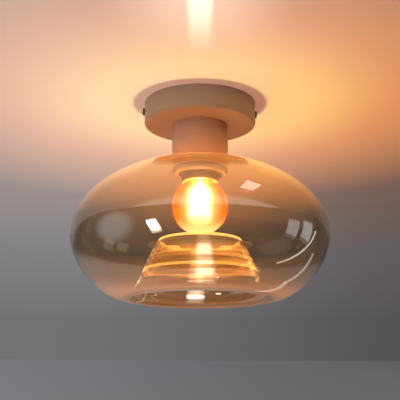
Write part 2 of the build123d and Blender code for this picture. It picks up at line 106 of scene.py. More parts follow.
def linear(*levels: int) -> Colour:
    """Turn a display colour into linear light.

    Args:
        levels: Red, green and blue, 0 to 255.

    Returns:
        The three linear values.
    """
    shown = np.array(levels) / FULL_LEVEL
    low = shown / SRGB_SLOPE
    high = ((shown + SRGB_OFFSET) / (1 + SRGB_OFFSET)) ** SRGB_POWER
    return tuple(np.where(shown <= SRGB_KNEE, low, high).tolist())


def opaque(colour: Colour) -> tuple[float, float, float, float]:
    """Add a full alpha to a colour."""
    return (*colour, 1.0)


def put(name: str, data: bpy.types.ID) -> Thing:
    """Make an object and link it to the scene.

    Args:
        name: Name of the object.
        data: Its mesh, lamp or camera.

    Returns:
        The new object.
    """
    thing = bpy.data.objects.new(name, data)
    bpy.context.scene.collection.objects.link(thing)
    return thing


# Meshes worked out on grids


def arc(centre: Pair, radii: Pair, start: float, end: float, count: int) -> np.ndarray:
    """Even points of an ellipse between two angles in degrees: centre plus radii times cosine and sine."""
    angle = np.radians(np.linspace(start, end, count))
    return np.column_stack((centre[0] + radii[0] * np.cos(angle), centre[1] + radii[1] * np.sin(angle)))


def bezier(corners: np.ndarray, count: int) -> np.ndarray:
    """Cubic Bezier curve: the four corners weighted by the cubic Bernstein terms of even steps.

    Args:
        corners: The four (radius, height) control points.
        count: Number of points.

    Returns:
        The (radius, height) points.
    """
    step = np.linspace(0, 1, count)[:, None]
    left = 1 - step
    terms = np.hstack((left**3, 3 * left**2 * step, 3 * left * step**2, step**3))
    return terms @ corners


def revolved(name: str, profile: np.ndarray, columns: int, closed: bool) -> Thing:
    """Carry a profile round the upright axis: x and y are radius times cosine and sine, z is height.

    Args:
        name: Name of the new piece.
        profile: The (radius, height) points, with the surface on their left going round outwards.
        columns: Steps in the full turn.
        closed: Whether the last profile point joins the first.

    Returns:
        The new object.
    """
    turn = np.linspace(0, 2 * np.pi, columns, endpoint=False)
    radius = profile[:, 0, None]
    height = np.repeat(profile[:, 1, None], columns, axis=1)
    points = np.stack((radius * np.cos(turn), radius * np.sin(turn), height), axis=-1)
    rows = len(profile)
    row, column = np.meshgrid(np.arange(rows if closed else rows - 1), np.arange(columns), indexing="ij")
    next_row = (row + 1) % rows
    next_column = (column + 1) % columns
    corners = (
        row * columns + column,
        row * columns + next_column,
        next_row * columns + next_column,
        next_row * columns + column,
    )
    faces = np.stack(corners, axis=-1).reshape(-1, 4)
    mesh = bpy.data.meshes.new(name)
    mesh.from_pydata(points.reshape(-1, 3).tolist(), [], faces.tolist())
    mesh.polygons.foreach_set("use_smooth", np.ones(len(faces), dtype=bool))
    mesh.update()
    return put(name, mesh)


def heading(turn: float, rise: float) -> Vector:
    """Unit vector out from the light.

    Args:
        turn: Degrees from the camera's side to the right.
        rise: Degrees above the level.

    Returns:
        The direction.
    """
    round_angle, up_angle = math.radians(turn), math.radians(rise)
    level = math.cos(up_angle)
    return Vector((level * math.sin(round_angle), -level * math.cos(round_angle), math.sin(up_angle)))


# Node graphs


class Graph:
    """Short hand for adding and joining the nodes of one tree."""

    def __init__(self, tree: Tree) -> None:
        """Start on a tree, which is emptied."""
        self.tree = tree
        tree.nodes.clear()

    def add(self, kind: str, settings: dict[str, Any] | None = None, **inputs: Any) -> Node:
        """Add one node.

        Args:
            kind: Blender's name of the node type.
            settings: Plain properties of the node.
            inputs: Input sockets by name with underscores for spaces; a socket value is linked.

        Returns:
            The node.
        """
        node = self.tree.nodes.new(kind)
        for key, value in (settings or {}).items():
            setattr(node, key, value)
        for key, value in inputs.items():
            self.feed(node.inputs[key.replace("_", " ")], value)
        return node

    def feed(self, socket: Socket, value: Any) -> None:
        """Link a socket to another socket, or set its value.

        Args:
            socket: Socket that takes the value.
            value: Socket or plain value; a colour gets a full alpha.
        """
        if isinstance(value, Socket):
            self.tree.links.new(value, socket)
        else:
            socket.default_value = opaque(value) if socket.type == "RGBA" else value

    def math(self, operation: str, *values: Any) -> Socket:
        """Add a Math node.

        Args:
            operation: What it works out.
            values: Sockets or numbers that go in.

        Returns:
            The result.
        """
        node = self.add("ShaderNodeMath", {"operation": operation})
        for socket, value in zip(node.inputs, values):
            self.feed(socket, value)
        return node.outputs[0]

    def times(self, *values: Any) -> Socket:
        """Multiply two or more values."""
        return reduce(partial(self.math, "MULTIPLY"), values)

    def noise(self, vector: Socket, scale: Any, detail: float = 2.0) -> Socket:
        """Add a noise and return its level."""
        return self.add("ShaderNodeTexNoise", Vector=vector, Scale=scale, Detail=detail).outputs["Fac"]

    def ramp(self, factor: Socket, stops: Stops) -> Socket:
        """Add a colour ramp.

        Args:
            factor: Socket that drives the ramp.
            stops: Positions and colours, in order.

        Returns:
            The colour socket.
        """
        node = self.add("ShaderNodeValToRGB", Fac=factor)
        elements = node.color_ramp.elements
        elements[0].position, elements[-1].position = stops[0][0], stops[-1][0]
        elements[0].color, elements[-1].color = opaque(stops[0][1]), opaque(stops[-1][1])
        for position, colour in stops[1:-1]:
            elements.new(position).color = opaque(colour)
        return node.outputs["Color"]

    def blend(self, factor: Any, first: Any, second: Any, how: str = "MIX") -> Socket:
        """Mix two colours.

        Args:
            factor: Share of the second colour.
            first: First colour or socket.
            second: Second colour or socket.
            how: Blend type.

        Returns:
            The mixed colour socket.
        """
        node = self.add("ShaderNodeMix", {"data_type": "RGBA", "blend_type": how})
        for place, value in ((MIX_FACTOR, factor), (MIX_FIRST, first), (MIX_SECOND, second)):
            self.feed(node.inputs[place], value)
        return node.outputs[MIX_RESULT]

    def spread(self, value: Any, edges: Pair, ends: Pair = RISING) -> Socket:
        """Map a value between two edges smoothly onto two ends, held beyond the edges."""
        return self.add(
            "ShaderNodeMapRange", {"interpolation_type": "SMOOTHSTEP"}, Value=value,
            From_Min=edges[0], From_Max=edges[1], To_Min=ends[0], To_Max=ends[1],
        ).outputs[0]

    def mix_shaders(self, factor: Socket, first: Node, second: Node) -> Socket:
        """Mix two shader nodes.

        Args:
            factor: Share of the second shader.
            first: First shader node.
            second: Second shader node.

        Returns:
            The mixed shader socket.
        """
        node = self.add("ShaderNodeMixShader", Fac=factor)
        self.feed(node.inputs[1], first.outputs[0])
        self.feed(node.inputs[2], second.outputs[0])
        return node.outputs[0]

    def group(self, tree: Tree, **inputs: Any) -> Node:
        """Place a shared node group and feed its inputs."""
        return self.add("ShaderNodeGroup", {"node_tree": tree}, **inputs)


def new_material(name: str) -> tuple[Material, Graph]:
    """Start a material.

    Args:
        name: Name of the material.

    Returns:
        The material, and a graph on its emptied tree.
    """
    material = bpy.data.materials.new(name)
    material.use_nodes = True
    return material, Graph(material.node_tree)


def new_group(
    name: str, inputs: dict[str, str], outputs: dict[str, str],
) -> tuple[Graph, list[Socket], list[Socket]]:
    """Start a shared shader node group with named sockets.

    Args:
        name: Name of the group.
        inputs: Names and kinds of the sockets that go in.
        outputs: Names and kinds of the sockets that come out.

    Returns:
        A graph on its tree, the sockets that bring the inputs and those that take the outputs.
    """
    tree = bpy.data.node_groups.new(name, "ShaderNodeTree")
    for way, sockets in (("INPUT", inputs), ("OUTPUT", outputs)):
        for label, kind in sockets.items():
            tree.interface.new_socket(name=label, in_out=way, socket_type=f"NodeSocket{kind}")
    graph = Graph(tree)
    start, end = graph.add("NodeGroupInput"), graph.add("NodeGroupOutput")
    return graph, [start.outputs[label] for label in inputs], [end.inputs[label] for label in outputs]


@dataclass
class SharedEffects:
    """Node groups that several finishes place: grain, tone drift and dust."""

    fine_detail: float = 4.0
    coarse_scale: float = 0.22
    coarse_share: float = 0.35
    grain_level: float = 0.675
    drift_detail: float = 3.0
    drift_range: Pair = (0.35, 0.65)
    thin_scale: float = 0.12
    speck_range: Pair = (0.06, 0.14)
    patch_range: Pair = (0.5, 0.7)
    grain: Tree = field(init=False)
    drift: Tree = field(init=False)
    dust: Tree = field(init=False)

    def __post_init__(self) -> None:
        """Build the three groups once."""
        self.grain = self._grain()
        self.drift = self._drift()
        self.dust = self._dust()

    def _grain(self) -> Tree:
        """Fine pebbled grain: two noises of different scale, put out as a mask and a height.

        Returns:
            The group.
        """
        graph, (vector, scale, sharpness), (mask, height) = new_group(
            "fine_grain",
            {"Vector": "Vector", "Scale": "Float", "Sharpness": "Float"},
            {"Mask": "Float", "Height": "Float"},
        )
        fine = graph.noise(vector, scale, self.fine_detail)
        coarse = graph.noise(vector, graph.times(scale, self.coarse_scale))
        both = graph.math("MULTIPLY_ADD", coarse, self.coarse_share, fine)
        centred = graph.math("SUBTRACT", both, self.grain_level)
        graph.feed(height, graph.math("MULTIPLY_ADD", centred, sharpness, 0.5))
        graph.feed(mask, coarse)
        return graph.tree

    def _drift(self) -> Tree:
        """Slow change of tone between two colours, driven by one large noise.

        Returns:
            The group.
        """
        graph, (vector, scale, main, other), (colour,) = new_group(
            "tone_drift",
            {"Vector": "Vector", "Scale": "Float", "Main": "Color", "Other": "Color"},
            {"Color": "Color"},
        )
        slow = graph.noise(vector, scale, self.drift_detail)
        graph.feed(colour, graph.blend(graph.spread(slow, self.drift_range), main, other))
        return graph.tree

    def _dust(self) -> Tree:
        """Sparse specks: the near parts of scattered cells, thinned by a second noise.

        Returns:
            The group.
        """
        graph, (vector, scale, amount), (mask,) = new_group(
            "dust_specks", {"Vector": "Vector", "Scale": "Float", "Amount": "Float"}, {"Mask": "Float"},
        )
        cells = graph.add("ShaderNodeTexVoronoi", Vector=vector, Scale=scale)
        near = graph.spread(cells.outputs["Distance"], self.speck_range, FALLING)
        thin = graph.noise(vector, graph.times(scale, self.thin_scale))
        graph.feed(mask, graph.times(near, graph.spread(thin, self.patch_range), amount))
        return graph.tree


# Finishes


class Texture(Enum):
    """How the grain of a finish runs, as a stretch of its coordinates."""

    EVEN = (1.0, 1.0, 1.0)
    TURNED = (0.15, 0.15, 1.0)
    DRAWN = (1.0, 1.0, 0.12)


def object_vector(graph: Graph, stretch: Triple = Texture.EVEN.value) -> Socket:
    """Object coordinates of the piece, stretched for a grain with a direction."""
    place = graph.add("ShaderNodeTexCoord").outputs["Object"]
    return graph.add("ShaderNodeMapping", Vector=place, Scale=stretch).outputs["Vector"]


def object_height(graph: Graph) -> Socket:
    """Height of a point of the piece."""
    return graph.add("ShaderNodeSeparateXYZ", Vector=object_vector(graph)).outputs["Z"]


def axis_distance(graph: Graph) -> Socket:
    """Distance of a point of the piece from the upright axis."""
    flat = object_vector(graph, FLATTENED)
    return graph.add("ShaderNodeVectorMath", {"operation": "LENGTH"}, Vector=flat).outputs["Value"]


def turned_away(graph: Graph) -> Socket:
    """How far the glass turns away from the view, 0 to 1."""
    return graph.add("ShaderNodeLayerWeight", Blend=0.5).outputs["Facing"]


@dataclass(frozen=True)
class Finish:
    """An opaque finish with tone drift, grain and a little dust."""

    name: str
    main: Colour
    other: Colour
    roughness: Pair
    metallic: float = 0.0
    texture: Texture = Texture.EVEN
    grain_scale: float = 900.0
    grain_depth: float = 0.15
    sharpness: float = 1.6
    drift_scale: float = 24.0
    dust: float = 0.1
    dust_scale: float = 700.0
    dust_colour: Colour = (0.42, 0.39, 0.35)
    mask_range: Pair = (0.3, 0.7)
    grain_reach: float = 0.0002
    settings: tuple[tuple[str, float], ...] = ()

    def build(self, shared: SharedEffects) -> Material:
        """Make the material.

        Args:
            shared: The shared node groups.

        Returns:
            The finished material.
        """
        material, graph = new_material(self.name)
        vector = object_vector(graph, self.texture.value)
        plain = object_vector(graph)
        grain = graph.group(shared.grain, Vector=vector, Scale=self.grain_scale, Sharpness=self.sharpness)
        drift = graph.group(
            shared.drift, Vector=plain, Scale=self.drift_scale,
            Main=self.main, Other=self.other,
        )
        specks = graph.group(shared.dust, Vector=plain, Scale=self.dust_scale, Amount=self.dust)
        tone = self.tint(graph, drift.outputs["Color"])
        colour = graph.blend(specks.outputs["Mask"], tone, self.dust_colour)
        rough = graph.spread(grain.outputs["Mask"], self.mask_range, self.roughness)
        bump = graph.add(
            "ShaderNodeBump",
            Strength=self.grain_depth, Distance=self.grain_reach, Height=grain.outputs["Height"],
        )
        shader = graph.add(
            "ShaderNodeBsdfPrincipled",
            Base_Color=colour, Roughness=rough, Metallic=self.metallic, Normal=bump.outputs["Normal"],
        )
        for socket, value in self.settings:
            shader.inputs[socket].default_value = value
        graph.add("ShaderNodeOutputMaterial", Surface=shader.outputs["BSDF"])
        return material

    def tint(self, graph: Graph, colour: Socket) -> Socket:
        """Hook for a pattern over the drifting colour; the plain finish has none."""
        return colour


@dataclass(frozen=True)
class StripedFinish(Finish):
    """A lead with a spiral stripe of a second colour."""

    stripe: Colour = (0.7, 0.6, 0.02)
    stripe_scale: float = 60.0
    stripe_edge: Pair = (0.6, 0.66)

    def tint(self, graph: Graph, colour: Socket) -> Socket:
        """Lay the stripe over the drifting colour."""
        bands = graph.add(
            "ShaderNodeTexWave", {"bands_direction": "DIAGONAL"},
            Vector=object_vector(graph), Scale=self.stripe_scale, Distortion=0.0,
        )
        return graph.blend(graph.spread(bands.outputs["Fac"], self.stripe_edge), colour, self.stripe)


@dataclass(frozen=True)
class GlassFinish:
    """Clear tinted glass whose tint deepens from one height to another, with faint waves and seeds."""

    name: str
    upper: Colour
    lower: Colour
    heights: Pair
    refraction: float
    wave_scale: float = 9.0
    wave_depth: float = 0.02
    wave_reach: float = 0.01
    seed_scale: float = 140.0
    seed_share: float = 0.5
    emission: Colour = BLACK
    emission_strength: float = 0.0
    shadow_tint: Colour = (1.0, 1.0, 1.0)
    roughness: float = 0.0

    def build(self, shared: SharedEffects) -> Material:
        """Make the material, with light from the lamp let straight through.

        Args:
            shared: The shared node groups.

        Returns:
            The finished material.
        """
        material, graph = new_material(self.name)
        vector = object_vector(graph)
        deep = graph.spread(object_height(graph), self.heights, FALLING)
        grain = graph.group(shared.grain, Vector=vector, Scale=self.wave_scale, Sharpness=1.0)
        seeds = graph.group(shared.dust, Vector=vector, Scale=self.seed_scale, Amount=self.seed_share)
        tint = graph.blend(seeds.outputs["Mask"], self.body(graph, deep), self.upper)
        bump = graph.add(
            "ShaderNodeBump",
            Strength=self.wave_depth, Distance=self.wave_reach, Height=grain.outputs["Height"],
        )
        shader = graph.add(
            "ShaderNodeBsdfPrincipled",
            Base_Color=tint, Roughness=self.roughness, Metallic=0.0, IOR=self.refraction,
            Transmission_Weight=1.0, Normal=bump.outputs["Normal"],
            Emission_Color=self.glow(graph), Emission_Strength=self.emission_strength,
        )
        through = graph.add("ShaderNodeBsdfTransparent", Color=self.shadow_tint)
        shadow = graph.add("ShaderNodeLightPath").outputs["Is Shadow Ray"]
        graph.add("ShaderNodeOutputMaterial", Surface=graph.mix_shaders(shadow, shader, through))
        return material

    def body(self, graph: Graph, deep: Socket) -> Socket:
        """Hook for the tint of the glass; plain glass only deepens with the height."""
        return graph.blend(deep, self.upper, self.lower)

    def glow(self, graph: Graph) -> Any:
        """Hook for the light that the glass itself gives; plain glass gives the same all over."""
        return self.emission


@dataclass(frozen=True)
class GlobeGlass(GlassFinish):
    """Coated lamp glass: pale where it is seen square on, deep orange where it turns away."""

    edge: Colour = (1.0, 0.35, 0.04)
    edge_facing: Pair = (0.1, 0.5)
    pole_rise: float = 0.018
    pole_light: Colour = (0.5, 0.34, 0.17)

    def body(self, graph: Graph, deep: Socket) -> Socket:
        """Tint that deepens towards the outline, less so near the lowest point."""
        turned = graph.times(
            graph.spread(turned_away(graph), self.edge_facing),
            graph.spread(object_height(graph), self.pole),
        )
        return graph.blend(turned, super().body(graph, deep), self.edge)

    def glow(self, graph: Graph) -> Any:
        """Light scattered by the coating, more of it near the lowest point."""
        near_pole = graph.spread(object_height(graph), self.pole, FALLING)
        return graph.blend(near_pole, self.emission, self.pole_light)

    @property
    def pole(self) -> Pair:
        """Heights of the lowest point and of the end of the paler part round it."""
        return self.heights[0], self.heights[0] + self.pole_rise


@dataclass(frozen=True)
class ShadeGlass(GlassFinish):
    """Shade glass with painted light in its emission: a gold rim, streaks and painted glints down the
    collar, a warm crown, and a painted shade on the shoulder round the neck.

    Heights are given from the collar's rim or from the foot of the shade.
    """

    # The colours named with light below are painted light, given out as emission by the glass
    rim_height: float = 0.0
    collar_radii: Pair = (0.073, 0.079)
    collar_from_rim: Pair = (0.004, 0.006)
    ring_stretch: Triple = (5.0, 5.0, 150.0)
    ring_noise: Pair = (0.42, 0.62)
    ring_floor: float = 0.22
    clear_from_rim: Pair = (-0.018, -0.011)
    clear_share: float = 0.35
    streak_from_foot: Pair = (0.012, 0.034)
    streak_floor: float = 0.06
    streak_light: Colour = (0.56, 0.24, 0.05)
    band_rise: float = 0.0295
    band_edge: Pair = (0.0006, 0.0022)
    band_light: Colour = (0.8, 0.42, 0.11)
    # Painted glints: upright highlights of the lamp painted on the collar
    glint_count: float = 4.0
    glint_edge: Pair = (0.74, 1.0)
    glint_from_foot: Pair = (0.004, 0.012)
    painted_glint_light: Colour = (1.4, 1.25, 1.0)
    bead_from_rim: Pair = (-0.003, -0.001)
    bead_light: Colour = (1.1, 0.66, 0.2)
    crown_from_rim: Pair = (0.03, 0.05)
    crown_radii: Pair = (0.06, 0.142)
    crown_light: Colour = (0.19, 0.068, 0.009)
    # Painted shade on the shoulder round the neck, darkening the tint where it is seen at a glancing angle
    shoulder_radii: Pair = (0.06, 0.07)
    shoulder_facing: Pair = (0.62, 0.84)
    shoulder_painted_shade: Colour = (0.6, 0.4, 0.2)
    shoulder_share: float = 0.3
    swell_radii: Triple = (0.07, 0.084, 0.122)
    swell_from_foot: Pair = (0.004, 0.03)
    swell_light: Colour = (0.1, 0.034, 0.006)
    limb_facing: Pair = (0.6, 0.95)
    limb_radii: Pair = (0.07, 0.1)
    limb_light: Colour = (0.032, 0.026, 0.022)

    def body(self, graph: Graph, deep: Socket) -> Socket:
        """Painted shade: the tint darkens on the shoulder round the neck where it is seen at a glancing
        angle.
        """
        return graph.blend(self.shoulder_shade_mask(graph), super().body(graph, deep), self.shoulder_painted_shade, "MULTIPLY")

    def step(self, graph: Graph, level: float, edges: Pair, ends: Pair = RISING) -> Socket:
        """Map the height between two edges, given from a level, onto two ends."""
        low, high = edges
        return graph.spread(object_height(graph), (level + low, level + high), ends)

    def shoulder_shade_mask(self, graph: Graph) -> Socket:
        """Mask of the painted shade on the flat shoulder round the neck, where it is seen at a glancing
        angle.
        """
        return graph.times(
            graph.spread(turned_away(graph), self.shoulder_facing),
            graph.spread(axis_distance(graph), self.shoulder_radii, FALLING),
            self.step(graph, self.rim_height, self.crown_from_rim),
        )

    def painted_glints(self, graph: Graph) -> Socket:
        """Mask of painted glints: upright highlights at even turns round the collar.

        Args:
            graph: The material's graph.

        Returns:
            The mask, 0 to 1.
        """
        right, back, _ = graph.add("ShaderNodeSeparateXYZ", Vector=object_vector(graph)).outputs
        turn = graph.math("ARCTAN2", right, back)
        beats = graph.math("COSINE", graph.times(turn, self.glint_count))
        above_foot = self.step(graph, self.heights[0], self.glint_from_foot)
        return graph.times(graph.spread(beats, self.glint_edge), above_foot)

    def painted_collar_light(self, graph: Graph) -> Socket:
        """Painted light of the collar: streaked rings, one bright band, painted glints and the bead of the
        rim.

        Args:
            graph: The material's graph.

        Returns:
            The colour socket of the light.
        """
        foot, rim = self.heights[0], self.rim_height
        collar = graph.times(
            graph.spread(axis_distance(graph), self.collar_radii, FALLING),
            self.step(graph, rim, self.collar_from_rim, FALLING),
        )
        noise = graph.noise(object_vector(graph, self.ring_stretch), 1.0)
        rings = graph.times(
            graph.spread(noise, self.ring_noise, (self.ring_floor, 1.0)),
            self.step(graph, rim, self.clear_from_rim, (1.0, self.clear_share)),
            collar,
        )
        lit = self.step(graph, foot, self.streak_from_foot, (self.streak_floor, 1.0))
        streaks = graph.times(rings, lit)
        over_band = graph.math("SUBTRACT", object_height(graph), foot + self.band_rise)
        off_band = graph.math("ABSOLUTE", over_band)
        band = graph.times(graph.spread(off_band, self.band_edge, FALLING), collar)
        bead = graph.times(self.step(graph, rim, self.bead_from_rim), collar)
        light = graph.blend(streaks, BLACK, self.streak_light)
        light = graph.blend(band, light, self.band_light)
        light = graph.blend(graph.times(self.painted_glints(graph), rings), light, self.painted_glint_light)
        return graph.blend(bead, light, self.bead_light)

    def glow(self, graph: Graph) -> Any:
        """Painted light by place: that of the collar, the crown, the swell of the foot and the outline.

        Args:
            graph: The material's graph.

        Returns:
            The colour socket of the light.
        """
        radius = axis_distance(graph)
        crown = graph.times(
            graph.spread(radius, self.crown_radii, FALLING),
            graph.spread(self.shoulder_shade_mask(graph), (0.0, 1.0), (1.0, self.shoulder_share)),
            self.step(graph, self.rim_height, self.crown_from_rim),
        )
        inner, middle, outer = self.swell_radii
        swell = graph.times(
            graph.spread(radius, (inner, middle)),
            graph.spread(radius, (middle, outer), FALLING),
            self.step(graph, self.heights[0], self.swell_from_foot, FALLING),
        )
        limb = graph.times(
            graph.spread(turned_away(graph), self.limb_facing), graph.spread(radius, self.limb_radii),
        )
        light = self.painted_collar_light(graph)
        added = ((crown, self.crown_light), (swell, self.swell_light), (limb, self.limb_light))
        for mask, colour in added:
            light = graph.blend(mask, light, colour, "ADD")
        return light


@dataclass(frozen=True)
class GlowFinish:
    """Phosphor sticks that give light, brighter along the middle of their length."""

    name: str
    coat: Colour
    glow: Colour
    heights: Pair
    strength: float
    ember: Colour = (0.2, 0.08, 0.02)
    end_share: float = 0.12
    end_light: float = 0.25
    drift_scale: float = 300.0
    roughness: float = 0.6

    def build(self, shared: SharedEffects) -> Material:
        """Make the material.

        Args:
            shared: The shared node groups.

        Returns:
            The finished material.
        """
        material, graph = new_material(self.name)
        height = object_height(graph)
        low, high = self.heights
        taper = self.end_share * (high - low)
        lit = graph.times(
            graph.spread(height, (low, low + taper), (self.end_light, 1.0)),
            graph.spread(height, (high - taper, high), (1.0, self.end_light)),
        )
        drift = graph.group(
            shared.drift, Vector=object_vector(graph), Scale=self.drift_scale,
            Main=self.coat, Other=self.glow,
        )
        shader = graph.add(
            "ShaderNodeBsdfPrincipled",
            Base_Color=drift.outputs["Color"], Roughness=self.roughness,
            Emission_Color=graph.blend(lit, self.ember, self.glow), Emission_Strength=self.strength,
        )
        graph.add("ShaderNodeOutputMaterial", Surface=shader.outputs["BSDF"])
        return material


# Sub-assemblies


def dress(piece: Thing, material: Material) -> None:
    """Give a piece one material in place of what it has."""
    piece.data.materials.clear()
    piece.data.materials.append(material)


@dataclass
class BlownShade:
    """The glass shade: crown, belly, fold and flared collar as one wall of even thickness."""

    radius: float = 0.135
    crown: float = 0.0822
    belly: float = 0.0667
    side_pull: float = 0.0321
    foot_pull: float = 0.0286
    fold_radius: float = 0.074
    wall: float = 0.0024
    hole_radius: float = 0.0212
    rim_radius: float = 0.0426
    collar_height: float = 0.0631
    collar_foot_pull: float = 0.012
    collar_rim_pull: float = 0.03
    rim_lean: float = 0.6
    ripple_depth: float = 0.00016
    ripple_length: float = 0.0065
    columns: int = 240
    crown_points: int = 44
    side_points: int = 46
    collar_points: int = 110
    bead_points: int = 9
    base: float = field(init=False)

    def __post_init__(self) -> None:
        """Take the height of the foot from the frame."""
        self.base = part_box("glass_shade")[0].z

    def side(self, radius: float, foot: float) -> np.ndarray:
        """Belly line from the widest point down to the fold.

        Args:
            radius: Greatest radius of this face.
            foot: Height of this face at the fold.

        Returns:
            The (radius, height) points.
        """
        waist = self.base + self.belly
        corners = (
            (radius, waist),
            (radius, waist - self.side_pull),
            (self.fold_radius + self.foot_pull, foot),
            (self.fold_radius, foot),
        )
        return bezier(np.array(corners), self.side_points)

    def collar(self, rim: float, foot: float) -> np.ndarray:
        """Collar line from fold to rim, with tooling rings: a sine of the height that fades at both ends.

        Args:
            rim: Radius of this face at the rim.
            foot: Height of this face at the fold.

        Returns:
            The (radius, height) points.
        """
        top = self.base + self.collar_height
        corners = (
            (self.fold_radius, foot),
            (self.fold_radius - self.collar_foot_pull, foot),
            (rim + self.rim_lean * self.collar_rim_pull, top - self.collar_rim_pull),
            (rim, top),
        )
        line = bezier(np.array(corners), self.collar_points)
        fade = np.sin(np.linspace(0, np.pi, len(line)))
        phase = 2 * np.pi * (top - line[:, 1]) / self.ripple_length
        line[:, 0] += self.ripple_depth * fade * np.sin(phase)
        return line

    def profile(self) -> np.ndarray:
        """Closed section: outer crown and belly, open face of the collar, rim bead, then back inside.

        Returns:
            The (radius, height) points.
        """
        waist = self.base + self.belly
        half = self.wall / 2
        floor = self.base + self.wall
        outer_start = math.degrees(math.acos(self.hole_radius / self.radius))
        inner_radius = self.radius - self.wall
        inner_crown = self.crown - self.wall
        inner_start = math.degrees(math.acos(self.hole_radius / inner_radius))
        rim = (self.rim_radius, self.base + self.collar_height)
        runs = (
            arc((0.0, waist), (self.radius, self.crown), outer_start, 0, self.crown_points),
            self.side(self.radius, self.base)[1:],
            self.collar(self.rim_radius - half, self.base)[1:],
            arc(rim, (half, half), 180, 0, self.bead_points)[1:],
            self.collar(self.rim_radius + half, floor)[::-1][1:],
            self.side(inner_radius, floor)[::-1][1:],
            arc((0.0, waist), (inner_radius, inner_crown), 0, inner_start, self.crown_points)[1:],
        )
        return np.vstack(runs)

    def build(self, material: Material) -> Thing:
        """Make the shade, hang it on its body and dress it.

        Args:
            material: The shade's glass.

        Returns:
            The shade.
        """
        shade = revolved("blown_shade", self.profile()[::-1], self.columns, closed=True)
        dress(shade, material)
        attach(shade, "shade")
        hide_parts("glass_shade")
        return shade


@dataclass
class GlobeBulb:
    """The lamp's glass: a thin globe that runs through a small round into its neck."""

    radius: float = 0.0297
    wall: float = 0.0007
    neck_radius: float = 0.0116
    neck_round: float = 0.008
    lowest_angle: float = -89.9
    globe_points: int = 90
    round_points: int = 16
    columns: int = 160
    bottom: float = field(init=False)
    top: float = field(init=False)

    def __post_init__(self) -> None:
        """Take the lowest and highest points from the frame."""
        low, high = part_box("bulb_globe")
        self.bottom, self.top = low.z, high.z

    def face(self, inset: float) -> np.ndarray:
        """One face from the lowest point to the top of the neck: globe arc, neck round, straight neck.

        Args:
            inset: How far the face lies inside the outer one.

        Returns:
            The (radius, height) points.
        """
        centre = self.bottom + self.radius
        reach = self.radius + self.neck_round
        across = self.neck_radius + self.neck_round
        join = math.degrees(math.acos(across / reach))
        rise = math.sqrt(reach**2 - across**2)
        globe_radius = self.radius - inset
        round_radius = self.neck_round + inset
        globe_radii = (globe_radius, globe_radius)
        globe = arc((0.0, centre), globe_radii, self.lowest_angle, join, self.globe_points)
        bend_radii = (round_radius, round_radius)
        bend = arc((across, centre + rise), bend_radii, 180 + join, 180, self.round_points)
        neck = np.array(((self.neck_radius - inset, self.top),))
        return np.vstack((globe, bend[1:], neck))

    def build(self, material: Material) -> Thing:
        """Make the globe, hang it on its body and dress it.

        Args:
            material: The globe's glass.

        Returns:
            The globe.
        """
        outer = self.face(0.0)
        inner = self.face(self.wall)[::-1]
        globe = revolved("lamp_globe", np.vstack((outer, inner)), self.columns, closed=False)
        dress(globe, material)
        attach(globe, "bulb")
        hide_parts("bulb_globe")
        return globe


